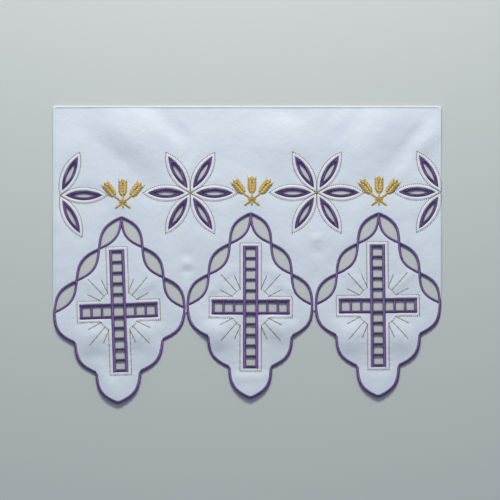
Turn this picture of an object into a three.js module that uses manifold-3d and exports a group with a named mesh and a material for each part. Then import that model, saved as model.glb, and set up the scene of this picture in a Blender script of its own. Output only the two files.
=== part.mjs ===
import * as THREE from "three";
import Module from "manifold-3d";

const wasm = await Module();
wasm.setup();

// Millimetres. X runs along the border, Y away from its lappets, Z up from the surface it lies on.
// In the tables x is 0 on the middle lappet's axis and y is 0 on the line where lappets meet.
const cloth = { left: -232.3, right: 223.8, top: 234, thick: 1.2, hemWide: 2.4, hemThick: 1, hemStart: 26 };

// The sewn pieces lie on the cloth with a small gap and reach a little past its cut edges.
const thread = { gap: 0.3, thick: 0.9, overhang: 0.4 };

// The wave grid that the cloth and every sewn piece share. It is wider than the cloth.
const grid = { left: -240, right: 240, foot: -130, top: 250, columns: 24, rows: 19, floor: -12 };

// Low folds of the cloth: a middle, a turn in degrees, half sizes along and across, a height.
// Three cross the plain cloth, two lie beside each ladder cross, and the lappets' feet and outer
// sides lift.
const folds = [
  { x: -134, y: 202, turn: -42, along: 84, across: 42, height: 4.2 },
  { x: 38, y: 192, turn: 4, along: 54, across: 42, height: 2.7 },
  { x: 150, y: 204, turn: 52, along: 62, across: 36, height: 3.4 },
  { x: -184, y: -32, turn: 8, along: 34, across: 32, height: 2.9 },
  { x: -128, y: -30, turn: -8, along: 30, across: 32, height: 2.7 },
  { x: -36, y: -31, turn: -6, along: 34, across: 32, height: 2.8 },
  { x: 30, y: -24, turn: 14, along: 31, across: 32, height: 2.8 },
  { x: 117, y: -32, turn: 0, along: 34, across: 31, height: 2.6 },
  { x: 178, y: -33, turn: 6, along: 30, across: 32, height: 2.6 },
  { x: -160, y: -120, turn: 0, along: 60, across: 50, height: 2.8 },
  { x: -2, y: -118, turn: 0, along: 60, across: 48, height: 2.5 },
  { x: 150, y: -118, turn: 0, along: 60, across: 48, height: 2.5 },
  { x: -218, y: -62, turn: -56, along: 62, across: 36, height: 1.6 },
  { x: 210, y: -54, turn: 56, along: 62, across: 36, height: 1.6 },
];

// Each lappet hangs between four corners, and a ladder cross stands in it.
const lappets = [
  {
    name: "left",
    apex: [-151.9, 103.5],
    left: [-230.8, -8.8],
    right: [-77.7, -3.1],
    foot: [-155.8, -114.8],
    cross: { x: -155.1, y: -6.8, turn: 2 },
  },
  {
    name: "middle",
    apex: [0.1, 108.2],
    left: [-74.2, 0],
    right: [72.3, 0.5],
    foot: [-0.4, -109],
    cross: { x: 0, y: -2.4, turn: 0 },
  },
  {
    name: "right",
    apex: [150.5, 108.2],
    left: [76.5, 0.9],
    right: [222.3, 2.7],
    foot: [149.7, -107.5],
    cross: { x: 149.5, y: -0.7, turn: 0.6 },
  },
];

// The satin cord of a lappet's edge: sway is how far a strand swings off its straight line.
const cord = {
  wide: 3,
  edgeWide: 3.6,
  sway: 8.35,
  waves: 3,
  steps: 6,
  joinSides: 10,
  joinOver: 0.12,
  tackDeep: 7,
};

// Ladder cross: cells above, below and beside the crossing, and the bars between them.
const ladder = {
  wide: 14.5,
  bar: 3.3,
  rung: 2.4,
  tallPitch: 12.6,
  tallCells: 5,
  armPitch: 12.3,
  armCells: 3,
};

// Six petals round each flower. Directions in degrees from +X.
const petal = {
  start: 5.6,
  length: 45.4,
  wide: 12.4,
  openLength: 26,
  openWide: 4.6,
  steps: 6,
  openSteps: 5,
};
const flowers = [
  { name: "first", x: -224.3, y: 129, directions: [0, 65, -62] },
  { name: "second", x: -71, y: 131.7, directions: [0, 59, 121, 180, 239, 301] },
  { name: "third", x: 77.7, y: 132.3, directions: [0, 59, 121, 180, 239, 301] },
  { name: "fourth", x: 223.8, y: 132.9, directions: [121, 180, 239] },
];

// A sheaf of three ears between the flowers.
const sheaf = {
  earLength: 20,
  earWide: 7.4,
  earSteps: 5,
  midEarY: 6.5,
  sideEarX: 14,
  sideEarY: 4.6,
  sideTurn: 38,
  stalk: 2.2,
  knotY: -7.5,
  footY: -15.5,
  footX: 9,
  knotWide: 9,
  knotDeep: 3.4,
};
const sheaves = [
  { name: "left", x: -150.2, y: 129.6 },
  { name: "middle", x: 1.5, y: 132.9 },
  { name: "right", x: 150.8, y: 132.9 },
];

const white = { color: 0xd2dae6, roughness: 0.62, metalness: 0 };
const purple = { color: 0x5c4d70, roughness: 0.42, metalness: 0 };
const gold = { color: 0xad9a66, roughness: 0.4, metalness: 0.2 };

const radians = THREE.MathUtils.degToRad;
const reach = 40;

function vector(pair) {
  return new THREE.Vector2(pair[0], pair[1]);
}

// Falls smoothly from 1 in a fold's middle to 0 at its half size.
function fade(share) {
  return Math.abs(share) < 1 ? (1 - share ** 2) ** 2 : 0;
}

function foldHeight(x, y) {
  let total = 0;
  for (const fold of folds) {
    const turned = new THREE.Vector2(x - fold.x, y - fold.y);
    turned.rotateAround(new THREE.Vector2(0, 0), -radians(fold.turn));
    total += fold.height * fade(turned.x / fold.along) * fade(turned.y / fold.across);
  }
  return total < 0.04 ? 0 : total;
}

function solid(geometry) {
  const plain = geometry.index ? geometry.toNonIndexed() : geometry;
  const positions = plain.getAttribute("position").array;
  const points = [];
  const corners = [];
  const seen = new Map();
  for (let at = 0; at < positions.length; at += 3) {
    const place = [...positions.subarray(at, at + 3)].map((value) => Math.round(value * 1e4) / 1e4);
    const key = place.join();
    if (!seen.has(key)) {
      seen.set(key, points.length / 3);
      points.push(...place);
    }
    corners.push(seen.get(key));
  }
  return new wasm.Manifold(
    new wasm.Mesh({
      numProp: 3,
      vertProperties: new Float32Array(points),
      triVerts: new Uint32Array(corners),
    }),
  );
}

// All that lies under the cloth's waved underside raised by `rise`.
function mound(rise) {
  const wide = grid.right - grid.left;
  const deep = grid.top - grid.foot;
  const box = new THREE.BoxGeometry(wide, deep, 2, grid.columns, grid.rows, 1);
  box.translate((grid.left + grid.right) / 2, (grid.foot + grid.top) / 2, 0);
  const places = box.getAttribute("position");
  for (let at = 0; at < places.count; at += 1) {
    const x = places.getX(at);
    const y = places.getY(at);
    const z = places.getZ(at) > 0 ? foldHeight(x, y) + rise : grid.floor;
    places.setZ(at, z);
  }
  return solid(box);
}

function slab(low, high) {
  return mound(high).subtract(mound(low));
}

function joined(solids) {
  return solids.reduce((all, one) => all.add(one));
}

// An upright prism over an outline, tall enough to pass through every wave, less its holes.
function prism(outline, holes = []) {
  const settings = { depth: 2 * reach, bevelEnabled: false };
  const made = new THREE.ExtrudeGeometry(new THREE.Shape(outline), settings);
  made.translate(0, 0, -reach);
  const whole = solid(made);
  return holes.length === 0 ? whole : whole.subtract(joined(holes.map((hole) => prism(hole))));
}

// The satin strand from one crossing to the next, as [along, across] of its straight line.
function strandPoint(length, share, shift) {
  const along = length * share;
  const across = cord.sway * Math.sin(Math.PI * share);
  const slope = (cord.sway * Math.PI * Math.cos(Math.PI * share)) / length;
  const stretch = Math.hypot(1, slope);
  return [along - (shift * slope) / stretch, across + shift / stretch];
}

// The share of a strand at which its shifted edge first reaches its start's square line (outer edge)
// or its straight line (inner edge).
function firstShare(length, shift) {
  const which = shift > 0 ? 0 : 1;
  let low = 0;
  let high = 0.5;
  for (let turn = 0; turn < 40; turn += 1) {
    const middle = (low + high) / 2;
    if (strandPoint(length, middle, shift)[which] < 0) {
      low = middle;
    } else {
      high = middle;
    }
  }
  return high;
}

// Points of a strand's edge between two places. The side is 1 for its left, -1 for its right.
function strandEdge(from, to, side, shift, whole) {
  const line = to.clone().sub(from);
  const length = line.length();
  const ahead = line.clone().normalize();
  const beside = new THREE.Vector2(-ahead.y, ahead.x).multiplyScalar(side);
  const start = whole ? 0 : firstShare(length, shift);
  const points = [];
  for (let step = 0; step <= cord.steps; step += 1) {
    const share = start + ((1 - 2 * start) * step) / cord.steps;
    const [along, across] = strandPoint(length, share, shift);
    points.push(from.clone().addScaledVector(ahead, along).addScaledVector(beside, across));
  }
  return points;
}

// The crossings between two corners of a lappet, both corners included.
function crossings(from, to) {
  const places = [];
  for (let step = 0; step <= cord.waves; step += 1) {
    places.push(from.clone().lerp(to, step / cord.waves));
  }
  return places;
}

function sideEdge(from, to, side, shift, whole) {
  const places = crossings(from, to);
  const points = [];
  for (let step = 0; step < cord.waves; step += 1) {
    points.push(...strandEdge(places[step], places[step + 1], side, shift, whole));
  }
  return withoutRepeats(points);
}

function withoutRepeats(points) {
  return points.filter((point, at) => at === 0 || point.distanceTo(points[at - 1]) > 0.01);
}

// The openings between the two strands of a lappet's upper side.
function lensPaths(from, to, shift) {
  const places = crossings(from, to);
  const paths = [];
  for (let step = 0; step < cord.waves; step += 1) {
    const upper = strandEdge(places[step], places[step + 1], 1, shift, false);
    const lower = strandEdge(places[step], places[step + 1], -1, shift, false);
    lower.reverse();
    paths.push(upper.concat(lower.slice(1, -1)));
  }
  return paths;
}

// Two strands that cross at every third of a lappet's upper side.
function doubleSide(from, to) {
  const outer = sideEdge(from, to, 1, cord.wide / 2, false);
  const inner = sideEdge(from, to, -1, cord.wide / 2, false);
  return prism(outer.concat(inner.reverse()), lensPaths(from, to, -cord.wide / 2));
}

// One strand in three bows along a lappet's lower side.
function singleSide(from, to) {
  const outer = sideEdge(from, to, -1, cord.edgeWide / 2, false);
  const inner = sideEdge(from, to, -1, -cord.edgeWide / 2, true);
  return prism(outer.concat(inner.reverse()));
}

// A round end that closes the cords where two sides of a lappet meet.
function roundJoin(place, wide) {
  const points = [];
  const radius = wide / 2 + cord.joinOver;
  for (let step = 0; step < cord.joinSides; step += 1) {
    const angle = (2 * Math.PI * (step + 0.2)) / cord.joinSides;
    const x = place.x + radius * Math.cos(angle);
    const y = place.y + radius * Math.sin(angle);
    points.push(new THREE.Vector2(x, y));
  }
  return prism(points);
}

function edgingPattern(lappet) {
  const apex = vector(lappet.apex);
  const left = vector(lappet.left);
  const right = vector(lappet.right);
  const foot = vector(lappet.foot);
  return joined([
    doubleSide(apex, left),
    doubleSide(right, apex),
    singleSide(left, foot),
    singleSide(foot, right),
    roundJoin(apex, cord.wide),
    roundJoin(left, cord.edgeWide),
    roundJoin(right, cord.edgeWide),
    roundJoin(foot, cord.edgeWide),
  ]);
}

function crossPoints(halfWide, tall, arm) {
  return [
    [-halfWide, tall],
    [-halfWide, halfWide],
    [-arm, halfWide],
    [-arm, -halfWide],
    [-halfWide, -halfWide],
    [-halfWide, -tall],
    [halfWide, -tall],
    [halfWide, -halfWide],
    [arm, -halfWide],
    [arm, halfWide],
    [halfWide, halfWide],
    [halfWide, tall],
  ].map(vector);
}

function placed(points, place) {
  const angle = radians(place.turn);
  const middle = new THREE.Vector2(place.x, place.y);
  return points.map((point) => point.clone().rotateAround(new THREE.Vector2(0, 0), angle).add(middle));
}

const tallEnd = ladder.wide / 2 + ladder.tallPitch * ladder.tallCells;
const armEnd = ladder.wide / 2 + ladder.armPitch * ladder.armCells;

function rectangle(x, y, wide, deep) {
  return [
    [x - wide / 2, y - deep / 2],
    [x + wide / 2, y - deep / 2],
    [x + wide / 2, y + deep / 2],
    [x - wide / 2, y + deep / 2],
  ].map(vector);
}

function ladderPattern(place) {
  const open = ladder.wide - ladder.bar;
  const cells = [rectangle(0, 0, open, open)];
  for (const way of [-1, 1]) {
    for (let cell = 0; cell < ladder.tallCells; cell += 1) {
      const y = way * (ladder.wide / 2 + ladder.tallPitch * (cell + 0.5));
      cells.push(rectangle(0, y, open, ladder.tallPitch - ladder.rung));
    }
    for (let cell = 0; cell < ladder.armCells; cell += 1) {
      const x = way * (ladder.wide / 2 + ladder.armPitch * (cell + 0.5));
      cells.push(rectangle(x, 0, ladder.armPitch - ladder.rung, open));
    }
  }
  const half = ladder.bar / 2;
  const outline = crossPoints(ladder.wide / 2 + half, tallEnd + half, armEnd + half);
  return prism(placed(outline, place), cells.map((cell) => placed(cell, place)));
}

// The cut in the cloth under a ladder cross. The rungs span it.
function crossCut(place) {
  const edge = ladder.bar / 2 - thread.overhang;
  return placed(crossPoints(ladder.wide / 2 - edge, tallEnd - edge, armEnd - edge), place);
}

// A lens of two arcs about the X axis, centred at `middle`.
function lens(middle, length, wide, steps) {
  const half = length / 2;
  const radius = (half ** 2 + (wide / 2) ** 2) / wide;
  const spread = Math.asin(half / radius);
  const points = [];
  for (const side of [1, -1]) {
    for (let step = 0; step < steps; step += 1) {
      const angle = spread - (2 * spread * step) / steps;
      const x = radius * Math.sin(angle);
      const y = radius * (Math.cos(angle) - Math.cos(spread));
      points.push(new THREE.Vector2(middle + side * x, side * y));
    }
  }
  return points;
}

function petalPoints(flower, direction, length, wide, steps) {
  const points = lens(petal.start + petal.length / 2, length, wide, steps);
  return placed(points, { x: flower.x, y: flower.y, turn: direction });
}

function petalPattern(flower, direction) {
  const rim = petalPoints(flower, direction, petal.length, petal.wide, petal.steps);
  const hole = petalPoints(flower, direction, petal.openLength, petal.openWide, petal.openSteps);
  return prism(rim, [hole]);
}

// The cut in the cloth under a petal, a little larger than the petal's own opening.
function petalCut(flower, direction) {
  const length = petal.openLength + 4 * thread.overhang;
  const wide = petal.openWide + 2 * thread.overhang;
  return petalPoints(flower, direction, length, wide, petal.openSteps);
}

function strip(from, to, wide) {
  const ahead = to.clone().sub(from).normalize().multiplyScalar(wide / 2);
  const beside = new THREE.Vector2(-ahead.y, ahead.x);
  return [
    from.clone().sub(beside),
    to.clone().sub(beside),
    to.clone().add(beside),
    from.clone().add(beside),
  ];
}

function sheafPattern(place) {
  const level = { x: place.x, y: place.y, turn: 0 };
  const knot = new THREE.Vector2(0, sheaf.knotY);
  const pieces = [rectangle(0, sheaf.knotY, sheaf.knotWide, sheaf.knotDeep)];
  for (const way of [-1, 0, 1]) {
    const x = way * sheaf.sideEarX;
    const y = way === 0 ? sheaf.midEarY : sheaf.sideEarY;
    const ear = lens(0, sheaf.earLength, sheaf.earWide, sheaf.earSteps);
    pieces.push(placed(ear, { x, y, turn: 90 - way * sheaf.sideTurn }));
    pieces.push(strip(knot, new THREE.Vector2(x * 0.84, y * 0.84), sheaf.stalk));
    pieces.push(strip(knot, new THREE.Vector2(-way * sheaf.footX, sheaf.footY), sheaf.stalk));
  }
  return joined(pieces.map((piece) => prism(placed(piece, level))));
}

// The cloth's outline: a straight cut length above, three lappets with bowed sides below.
function clothOutline() {
  const edge = cord.edgeWide / 2 - thread.overhang;
  const points = [new THREE.Vector2(cloth.right, cloth.top), new THREE.Vector2(cloth.left, cloth.top)];
  lappets.forEach((lappet, at) => {
    const left = vector(lappet.left);
    const right = vector(lappet.right);
    const foot = vector(lappet.foot);
    if (at === 0) {
      points.push(new THREE.Vector2(cloth.left, lappet.left[1]));
    } else {
      points.push(new THREE.Vector2(left.x - edge, left.y - cord.tackDeep));
    }
    const down = sideEdge(left, foot, -1, edge, false);
    const up = sideEdge(foot, right, -1, edge, false);
    points.push(...down.filter((point) => belowTack(point, left, at > 0)));
    points.push(...up.filter((point) => belowTack(point, right, at < lappets.length - 1)));
    if (at === lappets.length - 1) {
      points.push(new THREE.Vector2(cloth.right, lappet.right[1]));
    } else {
      points.push(new THREE.Vector2(right.x + edge, right.y - cord.tackDeep));
    }
  });
  return withoutRepeats(points);
}

// Cloth stays whole between two lappets down to the foot of their tack.
function belowTack(point, corner, tacked) {
  return !tacked || point.y < corner.y - cord.tackDeep;
}

function hemPattern() {
  const inner = { left: cloth.left + cloth.hemWide, right: cloth.right - cloth.hemWide };
  const foot = { left: lappets[0].left[1] + cloth.hemStart, right: lappets[2].right[1] + cloth.hemStart };
  const corners = [
    [cloth.left, cloth.top],
    [cloth.left, foot.left],
    [inner.left, foot.left],
    [inner.left, cloth.top - cloth.hemWide],
    [inner.right, cloth.top - cloth.hemWide],
    [inner.right, foot.right],
    [cloth.right, foot.right],
    [cloth.right, cloth.top],
  ];
  return prism(corners.map(vector));
}

const threadLow = cloth.thick + thread.gap;
const threadSlab = slab(threadLow, threadLow + thread.thick);
const hemSlab = slab(0, cloth.thick + cloth.hemThick);

function clothSolid() {
  const lensShift = thread.overhang - cord.wide / 2;
  const cuts = [];
  for (const lappet of lappets) {
    cuts.push(...lensPaths(vector(lappet.apex), vector(lappet.left), lensShift));
    cuts.push(...lensPaths(vector(lappet.right), vector(lappet.apex), lensShift));
    cuts.push(crossCut(lappet.cross));
  }
  for (const flower of flowers) {
    for (const direction of flower.directions) {
      cuts.push(petalCut(flower, direction));
    }
  }
  const flat = slab(0, cloth.thick).intersect(prism(clothOutline(), cuts));
  return flat.add(hemSlab.intersect(hemPattern()));
}

const pieces = [];

function addPiece(name, made, look) {
  pieces.push({ name, made, look });
}

addPiece("cloth", clothSolid(), white);
for (const lappet of lappets) {
  addPiece(`edging.${lappet.name}`, threadSlab.intersect(edgingPattern(lappet)), purple);
  addPiece(`cross.${lappet.name}`, threadSlab.intersect(ladderPattern(lappet.cross)), purple);
}
for (const flower of flowers) {
  flower.directions.forEach((direction, at) => {
    const rim = threadSlab.intersect(petalPattern(flower, direction));
    addPiece(`petal.${flower.name}.${at + 1}`, rim, purple);
  });
}
for (const place of sheaves) {
  addPiece(`sheaf.${place.name}`, threadSlab.intersect(sheafPattern(place)), gold);
}

// Every piece moves together, so that the whole stands over the middle of the frame.
const box = new THREE.Box3();
for (const { made } of pieces) {
  const { min, max } = made.boundingBox();
  box.expandByPoint(new THREE.Vector3(...min));
  box.expandByPoint(new THREE.Vector3(...max));
}
const middle = box.getCenter(new THREE.Vector3());

const altarCloth = new THREE.Group();
for (const { name, made, look } of pieces) {
  const mesh = made.getMesh();
  const geometry = new THREE.BufferGeometry();
  const places = new Float32Array(mesh.numVert * 3);
  for (let at = 0; at < mesh.numVert; at += 1) {
    places.set(mesh.vertProperties.subarray(at * mesh.numProp, at * mesh.numProp + 3), at * 3);
  }
  geometry.setAttribute("position", new THREE.BufferAttribute(places, 3));
  geometry.setIndex(new THREE.BufferAttribute(mesh.triVerts, 1));
  geometry.translate(-middle.x, -middle.y, -box.min.z);
  geometry.computeVertexNormals();
  const piece = new THREE.Mesh(geometry, new THREE.MeshStandardMaterial(look));
  piece.name = name;
  altarCloth.add(piece);
}

export default altarCloth;
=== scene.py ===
import math
import bmesh
import bpy
from mathutils import Matrix, Vector, kdtree, noise


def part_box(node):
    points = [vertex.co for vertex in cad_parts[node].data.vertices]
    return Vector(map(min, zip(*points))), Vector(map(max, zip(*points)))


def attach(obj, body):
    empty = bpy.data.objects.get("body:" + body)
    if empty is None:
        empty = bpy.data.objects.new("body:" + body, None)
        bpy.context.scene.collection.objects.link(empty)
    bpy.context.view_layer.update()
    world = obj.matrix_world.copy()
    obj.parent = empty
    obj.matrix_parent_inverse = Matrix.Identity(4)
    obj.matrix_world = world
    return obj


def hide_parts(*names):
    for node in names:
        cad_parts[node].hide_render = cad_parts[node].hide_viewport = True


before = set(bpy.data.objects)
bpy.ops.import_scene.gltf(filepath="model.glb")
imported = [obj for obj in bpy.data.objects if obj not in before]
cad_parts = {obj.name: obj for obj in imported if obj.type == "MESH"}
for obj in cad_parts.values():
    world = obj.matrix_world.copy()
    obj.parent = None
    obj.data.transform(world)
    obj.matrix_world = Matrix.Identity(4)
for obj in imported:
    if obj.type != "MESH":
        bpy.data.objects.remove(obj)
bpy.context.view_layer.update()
mm = 0.001

# All tables below are in millimetres: x is 0 on the middle lappet's axis, y is 0 where lappets meet.
clothLow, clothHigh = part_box("cloth")
clothCut = {
    "left": -232.3, "right": 223.8, "top": 234.0,
    "thickness": 0.75, "lift": 0.55, "cell": 2.4,
    "margin": 6, "below": 126, "shortest": 0.02,
}
hem = {"width": 2.4, "height": 1.25, "out": 0.18, "over": 2, "step": 3.0, "sides": 12, "sweepStep": 4,
       "soften": 2, "stitchInset": 2.9}
middleHeight = clothCut["thickness"] / 2  # thread work is wrapped round the cloth's middle
tableOrigin = Vector((clothLow.x / mm - clothCut["left"], clothHigh.y / mm - clothCut["top"], 0))
toFrame = Matrix.Scale(mm, 4) @ Matrix.Translation(tableOrigin)

# Camera straight above, as the photograph is taken
view = {"height": 2.0, "width": 0.588, "x": -0.8, "y": 64.7, "sensor": 36.0}
camera = bpy.data.objects.new("camera", bpy.data.cameras.new("camera"))
bpy.context.scene.collection.objects.link(camera)
camera.location = ((view["x"] + tableOrigin.x) * mm, (view["y"] + tableOrigin.y) * mm, view["height"])
camera.data.sensor_width = view["sensor"]
camera.data.lens = view["sensor"] * view["height"] / view["width"]
camera.data.clip_start = 0.01
camera.data.clip_end = 20
camera.data.dof.use_dof = False
bpy.context.scene.camera = camera
print("camera ready")

lappets = [
    {"name": "left", "apex": (-151.9, 103.5), "left": (-230.8, -8.8), "right": (-77.7, -3.1),
     "foot": (-155.8, -114.8), "cross": (-155.1, -6.8), "turn": 2.0},
    {"name": "middle", "apex": (0.1, 108.2), "left": (-74.2, 0.0), "right": (72.3, 0.5),
     "foot": (-0.4, -109.0), "cross": (0.0, -2.4), "turn": 0.0},
    {"name": "right", "apex": (150.5, 108.2), "left": (76.5, 0.9), "right": (222.3, 2.7),
     "foot": (149.7, -107.5), "cross": (149.5, -0.7), "turn": 0.6},
]
flowers = [
    {"name": "first", "x": -224.3, "y": 129.0, "directions": (0, 65, -62)},
    {"name": "second", "x": -71.0, "y": 131.7, "directions": (0, 59, 121, 180, 239, 301)},
    {"name": "third", "x": 77.7, "y": 132.3, "directions": (0, 59, 121, 180, 239, 301)},
    {"name": "fourth", "x": 223.8, "y": 132.9, "directions": (121, 180, 239)},
]
sheaves = [
    {"name": "left", "x": -150.2, "y": 129.6},
    {"name": "middle", "x": 1.5, "y": 132.9},
    {"name": "right", "x": 150.8, "y": 132.9},
]

# Low folds of the cloth, then small puckers round the embroidery
folds = [
    {"x": -134, "y": 202, "turn": -42, "along": 84, "across": 42, "height": 4.2},
    {"x": 38, "y": 192, "turn": 4, "along": 54, "across": 42, "height": 2.7},
    {"x": 150, "y": 204, "turn": 52, "along": 62, "across": 36, "height": 3.4},
    {"x": -184, "y": -32, "turn": 8, "along": 34, "across": 32, "height": 2.9},
    {"x": -128, "y": -30, "turn": -8, "along": 30, "across": 32, "height": 2.7},
    {"x": -36, "y": -31, "turn": -6, "along": 34, "across": 32, "height": 2.8},
    {"x": 30, "y": -24, "turn": 14, "along": 31, "across": 32, "height": 2.8},
    {"x": 117, "y": -32, "turn": 0, "along": 34, "across": 31, "height": 2.6},
    {"x": 178, "y": -33, "turn": 6, "along": 30, "across": 32, "height": 2.6},
    {"x": -160, "y": -120, "turn": 0, "along": 60, "across": 50, "height": 2.8},
    {"x": -2, "y": -118, "turn": 0, "along": 60, "across": 48, "height": 2.5},
    {"x": 150, "y": -118, "turn": 0, "along": 60, "across": 48, "height": 2.5},
    {"x": -218, "y": -62, "turn": -56, "along": 62, "across": 36, "height": 1.6},
    {"x": 210, "y": -54, "turn": 56, "along": 62, "across": 36, "height": 1.6},
]
puckers = [
    {"x": -74, "y": 176, "turn": 80, "along": 16, "across": 9, "height": -1.0},
    {"x": -76, "y": 60, "turn": 0, "along": 9, "across": 6, "height": -0.7},
    {"x": -75, "y": 49, "turn": 0, "along": 10, "across": 6, "height": 1.0},
    {"x": -75, "y": 39, "turn": 0, "along": 10, "across": 6, "height": -0.9},
    {"x": -75, "y": 22, "turn": 90, "along": 14, "across": 6, "height": 0.7},
    {"x": 77, "y": 78, "turn": 20, "along": 12, "across": 9, "height": 1.0},
    {"x": 78, "y": 62, "turn": 0, "along": 12, "across": 7, "height": -0.7},
    {"x": 76, "y": 34, "turn": 84, "along": 16, "across": 7, "height": -0.6},
    {"x": -30, "y": 34, "turn": 42, "along": 30, "across": 8, "height": 0.7},
    {"x": 31, "y": 33, "turn": -42, "along": 30, "across": 8, "height": 0.6},
    {"x": -40, "y": 19, "turn": 16, "along": 22, "across": 6, "height": 0.5},
    {"x": 42, "y": 20, "turn": -18, "along": 22, "across": 6, "height": 0.5},
    {"x": -40, "y": -36, "turn": 12, "along": 29, "across": 21, "height": 1.7},
    {"x": 27, "y": -26, "turn": -28, "along": 31, "across": 20, "height": 1.8},
    {"x": 0, "y": -84, "turn": 2, "along": 34, "across": 9, "height": 0.9},
    {"x": -190, "y": 26, "turn": -28, "along": 26, "across": 8, "height": 0.7},
    {"x": -124, "y": 24, "turn": 34, "along": 28, "across": 8, "height": 0.6},
    {"x": -187, "y": -43, "turn": 4, "along": 28, "across": 21, "height": 1.7},
    {"x": -127, "y": -35, "turn": -10, "along": 24, "across": 20, "height": 1.5},
    {"x": -172, "y": -84, "turn": -62, "along": 34, "across": 11, "height": 1.1},
    {"x": 120, "y": 32, "turn": -40, "along": 28, "across": 8, "height": 0.9},
    {"x": 180, "y": 30, "turn": 40, "along": 28, "across": 8, "height": 0.9},
    {"x": 119, "y": -38, "turn": 6, "along": 26, "across": 20, "height": 1.5},
    {"x": 175, "y": -38, "turn": -6, "along": 25, "across": 20, "height": 1.5},
    {"x": -143, "y": 193, "turn": -42, "along": 64, "across": 24, "height": 1.1},
    {"x": -122, "y": 211, "turn": -42, "along": 56, "across": 20, "height": 0.8},
    {"x": -86, "y": 204, "turn": -46, "along": 40, "across": 14, "height": -0.8},
    {"x": 184, "y": 184, "turn": 52, "along": 56, "across": 15, "height": -1.3},
    {"x": 208, "y": 196, "turn": 52, "along": 34, "across": 18, "height": 1.7},
    {"x": 44, "y": 226, "turn": -14, "along": 30, "across": 14, "height": -0.8},
    {"x": -206, "y": 186, "turn": 70, "along": 40, "across": 18, "height": 0.8},
    {"x": 108, "y": 214, "turn": 40, "along": 44, "across": 16, "height": 0.6},
]
ease = {"puff": 0.7, "puffReach": 7.0, "ripple": 0.24, "rippleLength": 6.4, "rippleReach": 4.5,
        "wander": 2.2, "wanderLength": 30, "wave": 0.9, "waveLength": 52.0,
        "crumple": 0.3, "crumpleLength": 15.0, "seamPitch": 1.5, "lowest": -0.35}


def fade(share):
    return (1 - share * share) ** 2 if abs(share) < 1 else 0.0


def raised(rows, x, y):
    # Each row is an oval hump that fades out to its rim
    total = 0.0
    for row in rows:
        angle = math.radians(row["turn"])
        dx, dy = x - row["x"], y - row["y"]
        along = dx * math.cos(angle) + dy * math.sin(angle)
        across = dy * math.cos(angle) - dx * math.sin(angle)
        total += row["height"] * fade(along / row["along"]) * fade(across / row["across"])
    return total


# Where the satin cords, bars, petals and stitches run
cord = {"width": 3.1, "edgeWidth": 3.5, "widenOver": 12, "height": 1.9, "rise": 0.1, "step": 1.1, "sides": 10,
        "sway": 8.35, "soften": 4, "softenFoot": 6, "cover": 0.6, "coverSteps": 14, "tackDeep": 7.0,
        "overLift": 0.38, "overReach": 7.0, "underShare": -0.35}
ladder = {"width": 14.5, "bar": 3.7, "barHeight": 1.9, "rung": 2.8, "rungHeight": 1.6,
          "tallPitch": 12.6, "tallCells": 5, "armPitch": 12.3, "armCells": 3,
          "rise": 0.05, "uprightLift": 0.06, "laid": 3.0, "step": 1.5, "sides": 10, "cutUnder": 0.5}
crossLine = {"half": 12.6, "tall": 75.4, "arm": 48.8, "arc": 24.6, "arcSteps": 8}
rays = [
    {"angle": 48, "length": 28.0, "spread": 1.0},
    {"angle": 27, "length": 17.0, "spread": 0.75},
    {"angle": 66, "length": 17.0, "spread": 0.75},
]
petal = {"start": 5.6, "length": 45.4, "width": 12.4, "openLength": 26.6, "openWidth": 4.8,
         "height": 1.7, "count": 44, "ringSteps": 10, "cutLonger": 1.8, "cutWider": 1.1, "cutCount": 24,
         "lineStart": 0.6, "lineLength": 55.0, "lineWidth": 19.4, "lineCount": 40}


def flat(pair):
    return Vector((pair[0], pair[1], 0))


def strand(start, end, waves, side):
    # A satin strand that swings off its straight line in half waves, outwards and inwards in turn
    line = end - start
    ahead = line.normalized()
    beside = Vector((-ahead.y, ahead.x, 0)) * side * cord["sway"]
    count = round(line.length / cord["step"])
    shares = [i / count for i in range(count + 1)]
    return [start + line * share + beside * math.sin(math.pi * waves * share) for share in shares]


def softened(points, passes):
    points = [p.copy() for p in points]
    for turn in range(passes):
        inner = [(points[i - 1] + points[i] * 2 + points[i + 1]) / 4 for i in range(1, len(points) - 1)]
        points = [points[0]] + inner + [points[-1]]
    return points


def thirds(start, end):
    return start.lerp(end, 1 / 3), start.lerp(end, 2 / 3)


def lappetRoutes(lappet):
    apex, left, right, foot = (flat(lappet[key]) for key in ("apex", "left", "right", "foot"))
    leftOne, leftTwo = thirds(left, foot)
    rightOne, rightTwo = thirds(right, foot)
    outer = (strand(leftOne, left, 1, 1)[:-1] + strand(left, apex, 3, 1)[:-1]
             + strand(apex, right, 3, 1)[:-1] + strand(right, rightOne, 1, 1))
    bottom = strand(leftTwo, foot, 1, -1)[:-1] + strand(foot, rightTwo, 1, -1)
    return {
        "outer": softened(outer, cord["soften"]),
        "inner": [strand(left, apex, 3, -1), strand(apex, right, 3, -1)],
        "lower": [strand(leftOne, leftTwo, 1, -1), strand(rightOne, rightTwo, 1, 1),
                  softened(bottom, cord["softenFoot"])],
    }


def turned(points, place, angle):
    spin = Matrix.Rotation(math.radians(angle), 3, "Z")
    return [place + spin @ p for p in points]


def crossOutline():
    # A quarter of the stitched line: down the upright, round the arc, out along the arm
    half, arc, steps = crossLine["half"], crossLine["arc"], crossLine["arcSteps"]
    bend = math.asin(half / arc)
    quarter = [Vector((0, crossLine["tall"], 0)), Vector((half, crossLine["tall"], 0))]
    for i in range(steps + 1):
        angle = math.pi / 2 - bend - (math.pi / 2 - 2 * bend) * i / steps
        quarter.append(Vector((arc * math.cos(angle), arc * math.sin(angle), 0)))
    quarter += [Vector((crossLine["arm"], half, 0)), Vector((crossLine["arm"], 0, 0))]
    upper = quarter + [Vector((p.x, -p.y, 0)) for p in reversed(quarter[:-1])]
    return upper + [Vector((-p.x, p.y, 0)) for p in reversed(upper[:-1])]


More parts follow.
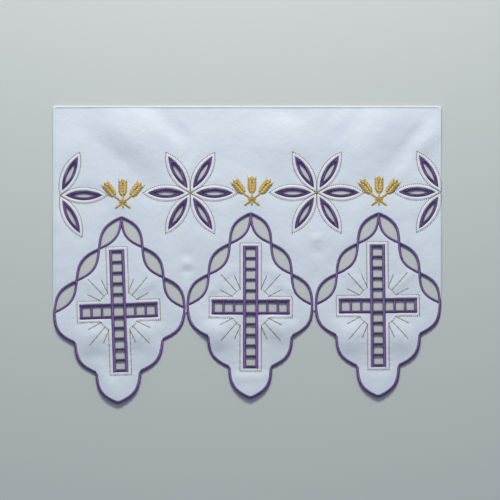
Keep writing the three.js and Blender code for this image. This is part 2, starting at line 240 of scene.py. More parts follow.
def crossRays():
    # Each ray starts on the arc, drawn in towards its middle by the spread
    lines = []
    for ray in rays:
        angle = math.radians(ray["angle"])
        for sx, sy in ((1, 1), (-1, 1), (-1, -1), (1, -1)):
            way = Vector((sx * math.cos(angle), sy * math.sin(angle), 0))
            middle = Vector((sx, sy, 0)).normalized()
            root = middle.lerp(way, ray["spread"]).normalized() * crossLine["arc"]
            lines.append([root, root + way * ray["length"]])
    return lines


def lens(middle, length, width, count):
    # Two arcs about the X axis, as a closed row of points
    half = length / 2
    radius = (half * half + width * width / 4) / width
    spread = math.asin(half / radius)
    points = []
    for side in (1, -1):
        for i in range(count // 2):
            angle = spread - 4 * spread * i / count
            x, y = radius * math.sin(angle), radius * (math.cos(angle) - math.cos(spread))
            points.append(Vector((middle + side * x, side * y, 0)))
    return points


def petalLens(flower, direction, length, width, count):
    middle = petal["start"] + petal["length"] / 2
    return turned(lens(middle, length, width, count), flat((flower["x"], flower["y"])), direction)


def petalLine(flower, direction):
    middle = petal["lineStart"] + petal["lineLength"] / 2
    points = lens(middle, petal["lineLength"], petal["lineWidth"], petal["lineCount"])
    return turned(points + points[:1], flat((flower["x"], flower["y"])), direction)


routes = {lappet["name"]: lappetRoutes(lappet) for lappet in lappets}

# Seams draw the cloth down beside them and ripple it, each kind with its own strength
pull = {"edging": 0.8, "cross": 1.25, "ray": 1.4, "petal": 0.7}
seams = []
for lappet in lappets:
    own = routes[lappet["name"]]
    middle = flat(lappet["cross"])
    seams += [(points, pull["edging"]) for points in [own["outer"]] + own["inner"] + own["lower"]]
    seams.append((turned(crossOutline(), middle, lappet["turn"]), pull["cross"]))
    seams += [(turned(points, middle, lappet["turn"]), pull["ray"]) for points in crossRays()]
for flower in flowers:
    seams += [(petalLine(flower, direction), pull["petal"]) for direction in flower["directions"]]


def resampled(points, pitch):
    # Evenly spaced places along a row of points, each with the way ahead
    placed, reach = [], 0.0
    for a, b in zip(points, points[1:]):
        length = (b - a).length
        while reach <= length:
            placed.append((a.lerp(b, reach / length), (b - a).normalized()))
            reach += pitch
        reach -= length
    return placed


seamSpots = [(spot, at * ease["seamPitch"], strength) for points, strength in seams
             for at, (spot, ahead) in enumerate(resampled(points, ease["seamPitch"]))]
seamTree = kdtree.KDTree(len(seamSpots))
for at, (spot, along, strength) in enumerate(seamSpots):
    seamTree.insert(spot, at)
seamTree.balance()
reliefKept = {}


def uneven(x, y, kind, layer):
    length = ease[kind + "Length"]
    return ease[kind] * noise.noise(Vector((x / length, y / length, layer)))


def relief(x, y):
    # Height of the cloth's underside over the surface it lies on
    key = (round(x, 2), round(y, 2))
    if key in reliefKept:
        return reliefKept[key]
    at, distance = seamTree.find(Vector((x, y, 0)))[1:]
    along, strength = seamSpots[at][1:]
    total = raised(folds, x, y) + raised(puckers, x, y)
    total += ease["puff"] * (1 - math.exp(-distance / ease["puffReach"]))
    wander = uneven(x, y, "wander", 4.0)
    ripple = math.sin(2 * math.pi * along / ease["rippleLength"] + wander)
    total += ease["ripple"] * strength * ripple * math.exp(-distance / ease["rippleReach"])
    total += uneven(x, y, "wave", 1.3) + uneven(x, y, "crumple", 7.1)
    reliefKept[key] = clothCut["lift"] + max(total, ease["lowest"])
    return reliefKept[key]


def onCloth(point, above):
    return Vector((point.x, point.y, relief(point.x, point.y) + above))


# Shader maths written as expressions
class Signal:
    def __init__(self, tree, socket):
        self.tree, self.socket = tree, socket

    def join(self, operation, *values):
        made = self.tree.nodes.new("ShaderNodeMath")
        made.operation = operation
        for at, value in enumerate(values):
            if isinstance(value, Signal):
                self.tree.links.new(value.socket, made.inputs[at])
            else:
                made.inputs[at].default_value = value
        return Signal(self.tree, made.outputs[0])

    def __add__(self, other):
        return self.join("ADD", self, other)

    def __rsub__(self, other):
        return self.join("SUBTRACT", other, self)

    def __mul__(self, other):
        return self.join("MULTIPLY", self, other)

    def __pow__(self, other):
        return self.join("POWER", self, other)

    def sine(self):
        return self.join("SINE", self)

    __radd__ = __add__
    __rmul__ = __mul__


class Finish:
    def __init__(self, name):
        self.material = bpy.data.materials.new(name)
        self.material.use_nodes = True
        self.tree = self.material.node_tree
        self.tree.nodes.clear()
        output = self.tree.nodes.new("ShaderNodeOutputMaterial")
        self.shader = self.tree.nodes.new("ShaderNodeBsdfPrincipled")
        self.tree.links.new(self.shader.outputs[0], output.inputs["Surface"])

    def node(self, kind, settings=None, inputs=None, output=0):
        made = self.tree.nodes.new(kind)
        for key, value in (settings or {}).items():
            setattr(made, key, value)
        for key, value in (inputs or {}).items():
            if isinstance(value, Signal):
                self.tree.links.new(value.socket, made.inputs[key])
            else:
                made.inputs[key].default_value = value
        return Signal(self.tree, made.outputs[output])

    def mixed(self, share, a, b):
        return self.node("ShaderNodeMix", {"data_type": "RGBA"}, {0: share, 6: a, 7: b}, 2)

    def split(self, vector):
        parted = self.node("ShaderNodeSeparateXYZ", None, {0: vector})
        return [Signal(self.tree, part) for part in parted.socket.node.outputs]

    def feed(self, **values):
        for key, value in values.items():
            socket = self.shader.inputs[key.replace("_", " ")]
            if isinstance(value, Signal):
                self.tree.links.new(value.socket, socket)
            else:
                socket.default_value = value
        return self.material


fabric = {"threadMm": 0.34, "slubScale": (240, 2400, 1), "cloudScale": 26.0, "crumpleScale": 190.0,
          "weaveStrength": 0.35, "weaveDepth": 0.00006, "crumpleStrength": 0.5, "crumpleDepth": 0.0007,
          "roughness": 0.46, "slubRoughness": 0.2, "sheen": 0.15, "sheenRoughness": 0.4}


def clothFinish(name, light, shade):
    # Fine satin-faced twill with slubs, a bluish white
    finish = Finish(name)
    place = finish.node("ShaderNodeTexCoord", None, None, 3)
    x, y = finish.split(place)[:2]
    turn = 2 * math.pi / (fabric["threadMm"] * mm)
    slub = finish.node("ShaderNodeTexNoise", {"noise_dimensions": "3D"}, {
        "Vector": finish.node("ShaderNodeMapping", None, {"Vector": place, "Scale": fabric["slubScale"]}),
        "Scale": 1.0, "Detail": 2.0})
    cloud = finish.node("ShaderNodeTexNoise", None, {
        "Vector": place, "Scale": fabric["cloudScale"], "Detail": 3.0})
    crumple = finish.node("ShaderNodeTexNoise", None, {
        "Vector": place, "Scale": fabric["crumpleScale"], "Detail": 2.5})
    twill = ((x * turn + y * (turn * 0.5)).sine() * 0.5 + 0.5) * ((y * turn).sine() * 0.3 + 0.7)
    colour = finish.mixed(cloud * 0.6 + slub * 0.4, shade, light)
    threads = finish.mixed(twill * 0.14 + slub * 0.05, colour, light)
    weave = finish.node("ShaderNodeBump", None, {
        "Strength": fabric["weaveStrength"], "Distance": fabric["weaveDepth"], "Height": twill + slub * 0.8})
    soft = finish.node("ShaderNodeBump", None, {
        "Strength": fabric["crumpleStrength"], "Distance": fabric["crumpleDepth"],
        "Height": crumple, "Normal": weave})
    return finish.feed(Base_Color=threads, Roughness=fabric["roughness"] + fabric["slubRoughness"] * slub,
                       Normal=soft, Sheen_Weight=fabric["sheen"], Sheen_Roughness=fabric["sheenRoughness"])


satin = {"wanderScale": 420.0, "wander": 1.6, "fibresPerThread": 1.7, "cloudScale": 90.0, "paintedGrooveShadeShare": 0.45,
         "fibreRoughness": 0.16, "specular": 0.8}


def threadFinish(name, look):
    # Satin stitch: threads lie across the route, which the UV map measures in millimetres
    finish = Finish(name)
    along = finish.split(finish.node("ShaderNodeUVMap", {"uv_map": "thread"}))[0]
    place = finish.node("ShaderNodeTexCoord", None, None, 3)
    wander = finish.node("ShaderNodeTexNoise", None, {
        "Vector": place, "Scale": satin["wanderScale"], "Detail": 1.0})
    ridge = (along * (2 * math.pi / look["pitch"]) + wander * satin["wander"]).sine() * 0.5 + 0.5
    fibre = finish.node("ShaderNodeTexNoise", {"noise_dimensions": "1D"}, {
        "W": along * (satin["fibresPerThread"] / look["pitch"]), "Scale": 1.0, "Detail": 1.0})
    cloud = finish.node("ShaderNodeTexNoise", None, {
        "Vector": place, "Scale": satin["cloudScale"], "Detail": 2.0})
    tone = finish.mixed(fibre * 0.55 + cloud * 0.45, look["dark"], look["light"])
    # painted shade: the grooves between the threads are darkened towards a darker groove colour
    colour = finish.mixed((1 - ridge) ** 2.0 * satin["paintedGrooveShadeShare"], tone, look["paintedGrooveShade"])
    bump = finish.node("ShaderNodeBump", None, {
        "Strength": 1.0, "Distance": look["relief"] * mm, "Height": ridge + fibre * 0.5})
    return finish.feed(Base_Color=colour, Roughness=look["roughness"] + satin["fibreRoughness"] * fibre,
                       Normal=bump, Metallic=look["metal"], Specular_IOR_Level=satin["specular"],
                       Specular_Tint=look["glow"])


whiteCloth = clothFinish("whiteSatinCloth", light=(0.835, 0.885, 0.95, 1), shade=(0.75, 0.805, 0.88, 1))
# The padded strips take a lighter copy of the cloth's colours: their raise is real geometry, their extra
# whiteness is a painted highlight
paddedClothPaintedLight = clothFinish("paddedSatinClothPaintedLight", light=(0.88, 0.905, 0.955, 1), shade=(0.82, 0.85, 0.905, 1))
purpleThread = threadFinish("purpleSatinThread", {
    "light": (0.25, 0.15, 0.38, 1), "dark": (0.16, 0.095, 0.25, 1), "paintedGrooveShade": (0.045, 0.027, 0.065, 1),
    "glow": (0.95, 0.75, 1.0, 1), "pitch": 0.55, "relief": 0.12, "roughness": 0.32, "metal": 0.72})
goldThread = threadFinish("goldSatinThread", {
    "light": (0.9, 0.66, 0.25, 1), "dark": (0.66, 0.46, 0.15, 1), "paintedGrooveShade": (0.26, 0.17, 0.05, 1),
    "glow": (1.0, 0.86, 0.5, 1), "pitch": 0.45, "relief": 0.1, "roughness": 0.34, "metal": 0.35})
stitchThread = threadFinish("goldStitchThread", {
    "light": (0.3, 0.185, 0.045, 1), "dark": (0.17, 0.105, 0.025, 1), "paintedGrooveShade": (0.07, 0.042, 0.01, 1),
    "glow": (1.0, 0.9, 0.6, 1), "pitch": 0.5, "relief": 0.1, "roughness": 0.45, "metal": 0.0})
hemThread = threadFinish("whiteHemThread", {
    "light": (0.82, 0.85, 0.89, 1), "dark": (0.7, 0.74, 0.79, 1), "paintedGrooveShade": (0.45, 0.49, 0.55, 1),
    "glow": (1.0, 1.0, 1.0, 1), "pitch": 0.4, "relief": 0.1, "roughness": 0.45, "metal": 0.0})
print("materials ready")


def placedMesh(name, bm):
    mesh = bpy.data.meshes.new(name)
    bm.to_mesh(mesh)
    bm.free()
    placed = bpy.data.objects.new(name, mesh)
    bpy.context.scene.collection.objects.link(placed)
    return placed


def newPiece(name, bm, material, sharp):
    # Leaves the tables' millimetres for the frame's metres
    bmesh.ops.transform(bm, matrix=toFrame, verts=bm.verts)
    piece = placedMesh(name, bm)
    mesh = piece.data
    mesh.polygons.foreach_set("use_smooth", [True] * len(mesh.polygons))
    mesh.set_sharp_from_angle(angle=math.radians(sharp))
    mesh.materials.append(material)
    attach(piece, "root")
    return piece


section = {"taper": (0.45, 0.86, 1.0), "shoulder": 0.72, "crown": 0.8}


def sweep(bm, points, width, height, sides, step, rounded=True):
    # A flattened tube along points that already lie at its middle height. Its width may vary by place
    uv = bm.loops.layers.uv.get("thread") or bm.loops.layers.uv.new("thread")
    spots = [points[0]]
    for a, b in zip(points, points[1:]):
        pieces = max(1, round((b - a).length / step))
        spots += [a.lerp(b, i / pieces) for i in range(1, pieces + 1)]
    frames, along, total = [], [], 0.0
    last = len(spots) - 1
    for at, spot in enumerate(spots):
        ahead = (spots[min(at + 1, last)] - spots[max(at - 1, 0)]).normalized()
        side = Vector((0, 0, 1)).cross(ahead).normalized()
        up = ahead.cross(side)
        total += (spot - spots[at - 1]).length if at else 0.0
        end = min(at, last - at)
        thin = section["taper"][min(end, 2)] if rounded else 1.0
        across = side * (width(spot) if callable(width) else width) / 2 * thin
        rise = up * height / 2 * thin
        frames.append(Matrix((
            (across.x, rise.x, ahead.x, spot.x),
            (across.y, rise.y, ahead.y, spot.y),
            (across.z, rise.z, ahead.z, spot.z),
            (0, 0, 0, 1))))
        along.append(total)
    ring = bmesh.ops.create_circle(bm, cap_ends=False, radius=1, segments=sides)["verts"]
    for vert in ring:  # fuller shoulders and a flatter top than an ellipse
        vert.co.x = math.copysign(abs(vert.co.x) ** section["shoulder"], vert.co.x)
        vert.co.y = math.copysign(abs(vert.co.y) ** section["crown"], vert.co.y)
    edges = list({edge for vert in ring for edge in vert.link_edges})
    bmesh.ops.transform(bm, matrix=frames[0], verts=ring)
    ends = [list(edges)]
    faces = []
    for at in range(1, len(frames)):
        made = bmesh.ops.extrude_edge_only(bm, edges=edges)["geom"]
        verts = [item for item in made if isinstance(item, bmesh.types.BMVert)]
        edges = [item for item in made if isinstance(item, bmesh.types.BMEdge)]
        edges = [edge for edge in edges if edge.verts[0] in verts and edge.verts[1] in verts]
        bmesh.ops.transform(bm, matrix=frames[at] @ frames[at - 1].inverted(), verts=verts)
        fresh = set(verts)
        for item in made:
            if isinstance(item, bmesh.types.BMFace):
                faces.append(item)
                for loop in item.loops:
                    place = at if loop.vert in fresh else at - 1
                    local = frames[place].inverted() @ loop.vert.co
                    loop[uv].uv = (along[place], abs(math.atan2(local.y, local.x)) / math.pi)
    ends.append(edges)
    for rim in ends:
        faces += bmesh.ops.contextual_create(bm, geom=rim)["faces"]
    bmesh.ops.recalc_face_normals(bm, faces=faces)


# The cloth: a fine grid, cut to its outline and pierced, then laid over its folds
def strandEdge(start, end, side, shift):
    # The cloth's own edge beside one bow of a strand, trimmed where the shift would fold it past the ends
    line = end - start
    length = line.length
    ahead = line / length
    beside = Vector((-ahead.y, ahead.x, 0)) * side

    def at(share):
        slope = cord["sway"] * math.pi * math.cos(math.pi * share) / length
        stretch = math.hypot(1, slope)
        rise = cord["sway"] * math.sin(math.pi * share)
        return length * share - shift * slope / stretch, rise + shift / stretch

    low, high = 0.0, 0.5
    for turn in range(30):  # closes in on the share where the trimmed edge starts
        middle = (low + high) / 2
        if at(middle)[0 if shift > 0 else 1] < 0:
            low = middle
        else:
            high = middle
    count = cord["coverSteps"]
    shares = [high + (1 - 2 * high) * i / count for i in range(count + 1)]
    return [start + ahead * at(share)[0] + beside * at(share)[1] for share in shares]


def wavePlaces(start, end):
    one, two = thirds(start, end)
    return [(start, one), (one, two), (two, end)]


def lensCuts(start, end):
    cuts = []
    for a, b in wavePlaces(start, end):
        upper = strandEdge(a, b, 1, -cord["cover"])
        lower = strandEdge(a, b, -1, -cord["cover"])
        cuts.append(upper + lower[-2:0:-1])
    return cuts


def clothOutline():
    points = [flat((clothCut["right"], clothCut["top"])), flat((clothCut["left"], clothCut["top"]))]
    for at, lappet in enumerate(lappets):
        left, right, foot = (flat(lappet[key]) for key in ("left", "right", "foot"))
        # neighbours stay joined down to the tack, while the two outer sides keep all their points
        bound = {"left": left.y - cord["tackDeep"] if at > 0 else math.inf,
                 "right": right.y - cord["tackDeep"] if at < 2 else math.inf}
        edge = cord["cover"]
        if at == 0:
            points.append(flat((clothCut["left"], left.y)))
        else:
            points.append(flat((left.x - edge, bound["left"])))
        for a, b in wavePlaces(left, foot):
            points += [p for p in strandEdge(a, b, -1, edge) if p.y < bound["left"]]
        for a, b in wavePlaces(foot, right):
            points += [p for p in strandEdge(a, b, -1, edge) if p.y < bound["right"]]
        if at == 2:
            points.append(flat((clothCut["right"], right.y)))
        else:
            points.append(flat((right.x + edge, bound["right"])))
    return [p for i, p in enumerate(points) if (p - points[i - 1]).length > clothCut["shortest"]]


def crossCut(lappet):
    near = ladder["width"] / 2 - ladder["cutUnder"]
    tall = near + ladder["tallPitch"] * ladder["tallCells"]
    arm = near + ladder["armPitch"] * ladder["armCells"]
    corners = [(near, tall), (-near, tall), (-near, near), (-arm, near), (-arm, -near), (-near, -near),
               (-near, -tall), (near, -tall), (near, -near), (arm, -near), (arm, near), (near, near)]
    return turned([flat(pair) for pair in corners], flat(lappet["cross"]), lappet["turn"])


cutter = {"low": -20, "tall": 40}


def prisms(name, outlines):
    bm = bmesh.new()
    for outline in outlines:
        face = bm.faces.new([bm.verts.new((p.x, p.y, cutter["low"])) for p in outline])
        grown = bmesh.ops.extrude_face_region(bm, geom=[face])["geom"]
        raisedVerts = [item for item in grown if isinstance(item, bmesh.types.BMVert)]
        bmesh.ops.translate(bm, vec=(0, 0, cutter["tall"]), verts=raisedVerts)
    bmesh.ops.recalc_face_normals(bm, faces=bm.faces)
    return placedMesh(name, bm)


def carve(target, tool, operation):
    # Keeps the boolean's result as the target's mesh and drops the tool
    modifier = target.modifiers.new("carve", "BOOLEAN")
    modifier.operation = operation
    modifier.solver = "MANIFOLD"
    modifier.object = tool
    bpy.context.view_layer.update()
    carved = bpy.data.meshes.new_from_object(target.evaluated_get(bpy.context.evaluated_depsgraph_get()))
    target.modifiers.clear()
    target.data = carved
    bpy.data.objects.remove(tool)


def hemRoute(inset, above):
    left, right, top = clothCut["left"] + inset, clothCut["right"] - inset, clothCut["top"] - inset
    corners = [flat((left, lappets[0]["left"][1] + hem["over"])), flat((left, top)),
               flat((right, top)), flat((right, lappets[2]["right"][1] + hem["over"]))]
    row = [spot for spot, ahead in resampled(corners, hem["step"])] + [corners[-1]]
    return [onCloth(p, above) for p in softened(row, hem["soften"])]


def buildCloth():
    bm = bmesh.new()
    wide = clothCut["right"] - clothCut["left"] + clothCut["margin"] * 2
    deep = clothCut["top"] + clothCut["below"] + clothCut["margin"]
    columns, rows = round(wide / clothCut["cell"]), round(deep / clothCut["cell"])
    bmesh.ops.create_grid(bm, x_segments=columns, y_segments=rows, size=0.5)
    bmesh.ops.scale(bm, vec=(wide, deep, 1), verts=bm.verts)
    middleX = (clothCut["left"] + clothCut["right"]) / 2
    middleY = clothCut["top"] + clothCut["margin"] - deep / 2
    bmesh.ops.translate(bm, vec=(middleX, middleY, 0), verts=bm.verts)
    grown = bmesh.ops.extrude_face_region(bm, geom=list(bm.faces))["geom"]
    bmesh.ops.translate(bm, vec=(0, 0, 1), verts=[v for v in grown if isinstance(v, bmesh.types.BMVert)])
    bmesh.ops.recalc_face_normals(bm, faces=bm.faces)
    blank = placedMesh("clothBlank", bm)
    carve(blank, prisms("outline", [clothOutline()]), "INTERSECT")
    cuts = [crossCut(lappet) for lappet in lappets]
    for lappet in lappets:
        apex, left, right = (flat(lappet[key]) for key in ("apex", "left", "right"))
        cuts += lensCuts(left, apex) + lensCuts(apex, right)
    slitLength, slitWidth = petal["openLength"] + petal["cutLonger"], petal["openWidth"] + petal["cutWider"]
    for flower in flowers:
        for direction in flower["directions"]:
            cuts.append(petalLens(flower, direction, slitLength, slitWidth, petal["cutCount"]))
    carve(blank, prisms("cuts", cuts), "DIFFERENCE")
    bm = bmesh.new()
    bm.from_mesh(blank.data)
    bpy.data.objects.remove(blank)
    for vert in bm.verts:
        top = vert.co.z > 0.5  # the blank is one millimetre thick
        vert.co.z = relief(vert.co.x, vert.co.y) + (clothCut["thickness"] if top else 0.0)
    sweep(bm, hemRoute(hem["width"] / 2, middleHeight + hem["out"]),
          hem["width"], hem["height"], hem["sides"], hem["sweepStep"])
    return newPiece("altarCloth", bm, whiteCloth, sharp=50)


cloth = buildCloth()
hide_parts("cloth")
print("cloth laid,", len(cloth.data.polygons), "faces")


# Satin edging: an outer and an inner strand pass over and under each other
def weaveLift(point, lappet, outer):
    apex, left, right = (flat(lappet[key]) for key in ("apex", "left", "right"))
    lift = 0.0
    for start in (left, right):
        near, far = thirds(apex, start)
        for crossing, overOuter in ((near, True), (far, False)):
            share = max(0.0, 1 - (point - crossing).length / cord["overReach"])
            way = 1 if outer == overOuter else cord["underShare"]
            lift += cord["overLift"] * way * share * share * (3 - 2 * share)
    return lift


def buildEdging(lappet):
    bm = bmesh.new()
    own = routes[lappet["name"]]
    rows = [(own["outer"], True)] + [(points, False) for points in own["inner"]]
    rows += [(points, True) for points in own["lower"]]
    corner = (lappet["left"][1] + lappet["right"][1]) / 2

    def width(spot):  # the cord is wider along the cut edge
        share = min(max((corner - spot.y) / cord["widenOver"], 0), 1)
        return cord["width"] + (cord["edgeWidth"] - cord["width"]) * share

    for points, outer in rows:
        lifted = [onCloth(p, middleHeight + cord["rise"] + weaveLift(p, lappet, outer)) for p in points]
        sweep(bm, lifted, width, cord["height"], cord["sides"], cord["step"])
    return newPiece("satinEdging." + lappet["name"], bm, purpleThread, sharp=70)


def buildLadder(lappet):
    # Wrapped bars: two uprights, two arms, and rungs between them
    bm = bmesh.new()
    half = ladder["width"] / 2
    tall = half + ladder["tallPitch"] * ladder["tallCells"]
    arm = half + ladder["armPitch"] * ladder["armCells"]
    bars = [((x, -tall), (x, tall), ladder["uprightLift"]) for x in (-half, half)]
    bars += [((-arm, y), (arm, y), 0.0) for y in (-half, half)]
    rungs = []
    for way in (-1, 1):
        for cell in range(1, ladder["tallCells"] + 1):
            y = way * (half + ladder["tallPitch"] * cell)
            rungs.append(((-half, y), (half, y), cell == ladder["tallCells"]))
        for cell in range(1, ladder["armCells"] + 1):
            x = way * (half + ladder["armPitch"] * cell)
            rungs.append(((x, -half), (x, half), cell == ladder["armCells"]))
    middle = flat(lappet["cross"])
    for a, b, lift in bars:
        start, end = turned([flat(a), flat(b)], middle, lappet["turn"])
        reach = (end - start).normalized() * ladder["bar"] / 2
        placed = resampled([start - reach, end + reach], ladder["laid"])
        row = [spot for spot, ahead in placed] + [end + reach]
        sweep(bm, [onCloth(p, middleHeight + ladder["rise"] + lift) for p in row],
              ladder["bar"], ladder["barHeight"], ladder["sides"], ladder["step"], rounded=False)
    for a, b, last in rungs:  # the last rung closes the ladder, as wide as its bars
        row = turned([flat(a), flat(a).lerp(flat(b), 0.5), flat(b)], middle, lappet["turn"])
        kind = "bar" if last else "rung"
        sweep(bm, [onCloth(p, middleHeight) for p in row],
              ladder[kind], ladder[kind + "Height"], ladder["sides"], ladder["step"])
    return newPiece("ladderCross." + lappet["name"], bm, purpleThread, sharp=70)


def loopOf(bm, points):
    verts = [bm.verts.new(p) for p in points]
    return [bm.edges.new((verts[i - 1], verts[i])) for i in range(len(verts))]


def buildPetals(flower):
    # Each rim is a closed satin ring, domed between its outer edge and the open slit
    bm = bmesh.new()
    uv = bm.loops.layers.uv.new("thread")
    for direction in flower["directions"]:
        rim = petalLens(flower, direction, petal["length"], petal["width"], petal["count"])
        slit = petalLens(flower, direction, petal["openLength"], petal["openWidth"], petal["count"])
        along, total = [], 0.0
        for a, b in zip(rim, rim[1:] + rim[:1]):
            along.append(total)
            total += (b - a).length
        loops, verts = [], []
        for k in range(petal["ringSteps"]):
            angle = 2 * math.pi * k / petal["ringSteps"]
            share = 0.5 - 0.5 * math.cos(angle)
            row = []
            for outer, inner in zip(rim, slit):
                p = outer.lerp(inner, share)
                row.append(onCloth(p, middleHeight + math.sin(angle) * petal["height"] / 2))
            edges = loopOf(bm, row)
            loops.append(edges)
            verts += [edge.verts[1] for edge in edges]
        faces = []
        for k in range(len(loops)):
            faces += bmesh.ops.bridge_loops(bm, edges=loops[k - 1] + loops[k])["faces"]
        bmesh.ops.recalc_face_normals(bm, faces=faces)
        station = {vert: i % len(rim) for i, vert in enumerate(verts)}
        level = {vert: i // len(rim) for i, vert in enumerate(verts)}
        for face in faces:
            closing = {0, len(rim) - 1} <= {station[vert] for vert in face.verts}
            for loop in face.loops:
                i = station[loop.vert]
                loop[uv].uv = (along[i] + (total if closing and i == 0 else 0), level[loop.vert])
    return newPiece("petals." + flower["name"], bm, purpleThread, sharp=80)


pad = {"rise": 0.3, "sink": 0.2, "pucker": 0.9, "puckerLength": 3.4, "ringSteps": 12,
       "wide": 5.6, "wideBlend": 3, "fall": 0.55, "inset": 0.25, "tipInset": 1.2, "rimUnder": 0.4,
       "pitch": 2.2, "under": 0.5, "barOut": 0.03}


def padRing(bm, outer, inner):
    # A low pillow of cloth on the sheet, from a stitched line in to a satin edge. It fades where it is wide
    swell = []
    for a, b in zip(outer, inner):
        wide = min(max(((a - b).length - pad["wide"]) / pad["wideBlend"], 0), 1)
        pucker = pad["rise"] * pad["pucker"] * noise.noise(a / pad["puckerLength"])
        swell.append(middleHeight + pad["rise"] + pucker - pad["fall"] * wide)
    loops = []
    for k in range(pad["ringSteps"]):
        angle = 2 * math.pi * k / pad["ringSteps"]
        share, way = 0.5 - 0.5 * math.cos(angle), math.sin(angle)
        above = [middleHeight + way * (high if way > 0 else pad["sink"]) for high in swell]
        row = [onCloth(a.lerp(b, share), rise) for a, b, rise in zip(outer, inner, above)]
        loops.append(loopOf(bm, row))
    faces = []
    for k in range(len(loops)):
        faces += bmesh.ops.bridge_loops(bm, edges=loops[k - 1] + loops[k])["faces"]
    bmesh.ops.recalc_face_normals(bm, faces=faces)


def nearestOn(corners, p):
    best = None
    for a, b in zip(corners, corners[1:] + corners[:1]):
        line = b - a
        share = min(max((p - a).dot(line) / line.length_squared, 0), 1)
        spot = a + line * share
        if best is None or (spot - p).length < (best - p).length:
            best = spot
    return best


def buildPads():
    bm = bmesh.new()
    middle = petal["lineStart"] + petal["lineLength"] / 2
    line = lens(middle, petal["lineLength"] - pad["tipInset"] * 2, petal["lineWidth"] - pad["inset"] * 2,
                petal["count"])
    length, width = petal["length"] - pad["rimUnder"] * 4, petal["width"] - pad["rimUnder"] * 2
    for flower in flowers:
        for direction in flower["directions"]:
            outer = turned(line, flat((flower["x"], flower["y"])), direction)
            padRing(bm, outer, petalLens(flower, direction, length, width, petal["count"]))
    near = ladder["width"] / 2 + ladder["bar"] / 2 - pad["under"]
    tall = near + ladder["tallPitch"] * ladder["tallCells"]
    arm = near + ladder["armPitch"] * ladder["armCells"]
    corners = [flat(pair) for pair in (
        (near, tall), (near, near), (arm, near), (arm, -near), (near, -near), (near, -tall),
        (-near, -tall), (-near, -near), (-arm, -near), (-arm, near), (-near, near), (-near, tall))]
    for lappet in lappets:
        outer = [spot for spot, ahead in resampled(crossOutline(), pad["pitch"])]
        ends = [nearestOn(corners, p) for p in outer]
        outer = [p.lerp(end, pad["inset"] / (p - end).length) for p, end in zip(outer, ends)]
        inner = [end.lerp(p, pad["barOut"]) for p, end in zip(outer, ends)]
        place = flat(lappet["cross"])
        padRing(bm, turned(outer, place, lappet["turn"]), turned(inner, place, lappet["turn"]))
    # painted highlight: the pads are finished lighter than the cloth they are made of
    return newPiece("paddedStrips", bm, paddedClothPaintedLight, sharp=60)


edgings = [buildEdging(lappet) for lappet in lappets]
ladders = [buildLadder(lappet) for lappet in lappets]
for lappet, edging, bars in zip(lappets, edgings, ladders):
    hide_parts("edging." + lappet["name"])
    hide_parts("cross." + lappet["name"])
pads = buildPads()
petals = []
for flower in flowers:
    rims = buildPetals(flower)
    for number in range(len(flower["directions"])):
        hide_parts(f"petal.{flower['name']}.{number + 1}")
    petals.append(rims)
print("satin stitch ready")

# Running stitches are short beads of thread that dip into the cloth
stitch = {"pitch": 2.4, "length": 1.35, "width": 1.5, "height": 0.85, "out": 0.3}
rayStitch = {"pitch": 1.5, "length": 1.5, "width": 1.1, "height": 0.75, "out": 0.4}
hemStitch = {"pitch": 2.7, "length": 1.9, "width": 0.45, "height": 0.4, "out": 0.18}


def runningStitch(bm, points, size):
    uv = bm.loops.layers.uv.get("thread") or bm.loops.layers.uv.new("thread")
    for spot, ahead in resampled(points, size["pitch"]):
        angle = math.atan2(ahead.y, ahead.x)
        place = onCloth(spot, clothCut["thickness"] + size["height"] * size["out"])
        matrix = (Matrix.Translation(place) @ Matrix.Rotation(angle, 4, "Z")
                  @ Matrix.Diagonal((size["length"] / 2, size["width"] / 2, size["height"] / 2, 1)))
        bead = bmesh.ops.create_icosphere(bm, subdivisions=1, radius=1, matrix=matrix)["verts"]
        for face in {face for vert in bead for face in vert.link_faces}:
            for loop in face.loops:
                loop[uv].uv = ((loop.vert.co - place).length, 0.5)


def buildCrossStitches(lappet):
    bm = bmesh.new()
    middle = flat(lappet["cross"])
    runningStitch(bm, turned(crossOutline(), middle, lappet["turn"]), stitch)
    for ray in crossRays():
        runningStitch(bm, turned(ray, middle, lappet["turn"]), rayStitch)
    return newPiece("goldLine." + lappet["name"], bm, stitchThread, sharp=80)


def buildPetalStitches(flower):
    bm = bmesh.new()
    for direction in flower["directions"]:
        runningStitch(bm, petalLine(flower, direction), stitch)
    return newPiece("goldPetalLine." + flower["name"], bm, stitchThread, sharp=80)


# A sheaf of three gold ears on each lappet's axis, tied with three bands
sheaf = {"knotX": 2.2, "knotY": -7.5, "footX": 9.0, "footY": -15.5, "bendX": 4.4,
         "midEarY": 6.5, "sideEarX": 14.0, "sideEarY": 4.6, "sideTurn": 38.0, "earLength": 20.5,
         "earFoot": 0.45, "stalkInto": 3, "stalk": 2.3, "footStalk": 2.645, "stalkHeight": 1.0,
         "stalkPlaces": (0, 0.25, 0.5, 0.75, 1), "grainPlaces": (0, 0.5, 1),
         "sides": 8, "step": 0.8, "rise": 0.35}
grain = {"pairs": 4, "first": 2.4, "pitch": 3.5, "out": 1.0, "turn": 25.0,
         "length": 7.6, "width": 3.5, "height": 1.9, "lift": 0.15, "nextLift": 0.05,
         "crownLength": 5.6, "crownBack": 0.6, "crownLift": 0.4}
beard = {"length": 2.7, "crownLength": 2.25, "crownStart": 5, "width": 0.5, "height": 0.4}
band = {"count": 3, "half": 4.4, "pitch": 1.25, "width": 1.5, "height": 1.3, "lift": 0.45}


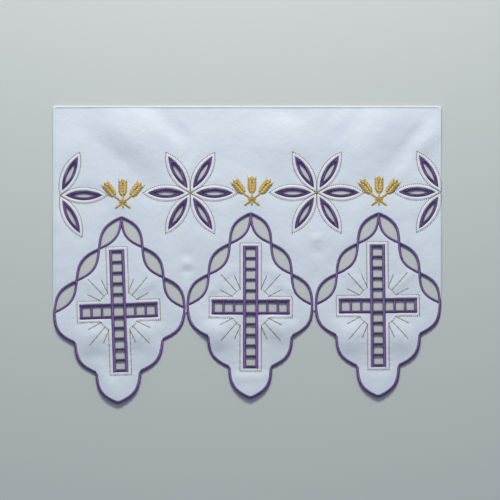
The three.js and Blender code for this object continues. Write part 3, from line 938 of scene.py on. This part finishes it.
def buildSheaf(place):
    bm = bmesh.new()
    middle = flat((place["x"], place["y"]))
    base = clothCut["thickness"] + sheaf["rise"]

    def embroider(points, width, height, lift=0.0):
        laid = [onCloth(middle + p, base + lift) for p in points]
        sweep(bm, laid, width, height, sheaf["sides"], sheaf["step"])

    for way in (-1, 0, 1):
        x, y = way * sheaf["sideEarX"], sheaf["midEarY"] if way == 0 else sheaf["sideEarY"]
        angle = math.radians(90 - way * sheaf["sideTurn"])
        ahead = Vector((math.cos(angle), math.sin(angle), 0))
        ear = Vector((x, y, 0))
        low = ear - ahead * sheaf["earLength"] * sheaf["earFoot"]
        knot = Vector((way * sheaf["knotX"], sheaf["knotY"], 0))
        bend = Vector((way * sheaf["bendX"], (sheaf["knotY"] + low.y) / 2, 0))
        stalk = [knot.lerp(bend, t).lerp(bend.lerp(low, t), t) for t in sheaf["stalkPlaces"]]
        embroider(stalk + [ear + ahead * sheaf["stalkInto"]], sheaf["stalk"], sheaf["stalkHeight"])
        foot = Vector((-way * sheaf["footX"], sheaf["footY"], 0))
        embroider([knot, foot], sheaf["footStalk"], sheaf["stalkHeight"])
        for pair in range(grain["pairs"]):
            root = low + ahead * (grain["first"] + pair * grain["pitch"])
            for side in (-1, 1):
                turn = Matrix.Rotation(math.radians(side * grain["turn"]), 3, "Z") @ ahead
                out = Vector((-ahead.y, ahead.x, 0)) * side * grain["out"]
                points = [root + out + turn * (grain["length"] * t) for t in sheaf["grainPlaces"]]
                embroider(points, grain["width"], grain["height"], grain["lift"] + grain["nextLift"] * pair)
                tip = points[-1]
                embroider([tip - turn, tip + turn * beard["length"]], beard["width"], beard["height"])
        crown = low + ahead * (grain["first"] + grain["pairs"] * grain["pitch"] - grain["crownBack"])
        points = [crown + ahead * (grain["crownLength"] * t) for t in sheaf["grainPlaces"]]
        embroider(points, grain["width"], grain["height"], grain["crownLift"])
        tip = crown + ahead * beard["crownStart"]
        embroider([tip, tip + ahead * beard["crownLength"]], beard["width"], beard["height"])
    for number in range(band["count"]):
        y = sheaf["knotY"] + (number - 1) * band["pitch"]
        embroider([Vector((-band["half"], y, 0)), Vector((band["half"], y, 0))],
              band["width"], band["height"], band["lift"])
    return newPiece("sheaf.gold." + place["name"], bm, goldThread, sharp=70)


def buildHemStitches():
    bm = bmesh.new()
    row = hemRoute(hem["stitchInset"], 0)
    runningStitch(bm, [flat((p.x, p.y)) for p in row], hemStitch)
    return newPiece("hemStitches", bm, hemThread, sharp=80)


goldLines = [buildCrossStitches(lappet) for lappet in lappets]
goldPetalLines = [buildPetalStitches(flower) for flower in flowers]
goldSheaves = []
for place in sheaves:
    made = buildSheaf(place)
    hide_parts("sheaf." + place["name"])
    goldSheaves.append(made)
hemStitches = buildHemStitches()
print("gold work and hem ready")

sewn = edgings + ladders + petals + goldLines + goldPetalLines + goldSheaves + [pads, hemStitches]

# Plain pale floor and soft studio light from above the picture's top edge
ground = {"size": 6.0, "level": -0.0002}
bpy.ops.mesh.primitive_plane_add(size=ground["size"], location=(0, 0, ground["level"]))
floor = bpy.context.object
floor.name = "floor"
floorLook = Finish("paleFloor")
floor.data.materials.append(floorLook.feed(Base_Color=(0.645, 0.67, 0.645, 1), Roughness=0.85))


def softLamp(name, place, aim, size, power, colour):
    lamp = bpy.data.objects.new(name, bpy.data.lights.new(name, "AREA"))
    lamp.data.shape = "RECTANGLE"
    lamp.data.size, lamp.data.size_y = size
    lamp.data.energy = power
    lamp.data.color = colour
    lamp.location = place
    lamp.rotation_euler = (Vector(aim) - Vector(place)).to_track_quat("-Z", "Y").to_euler()
    bpy.context.scene.collection.objects.link(lamp)


softLamp("windowLamp", (-0.02, 1.38, 1.02), (0, 0.03, 0), (0.8, 0.32), 22.8, (1.0, 0.985, 0.92))
softLamp("fillLamp", (-0.3, 1.3, 1.9), (0, 0, 0), (1.4, 1.2), 6.5, (0.78, 0.87, 1.0))
world = bpy.data.worlds.new("studio")
bpy.context.scene.world = world
world.use_nodes = True
world.node_tree.nodes["Background"].inputs["Color"].default_value = (0.68, 0.8, 1.0, 1)
world.node_tree.nodes["Background"].inputs["Strength"].default_value = 0.27
bpy.context.scene.view_settings.view_transform = "Standard"
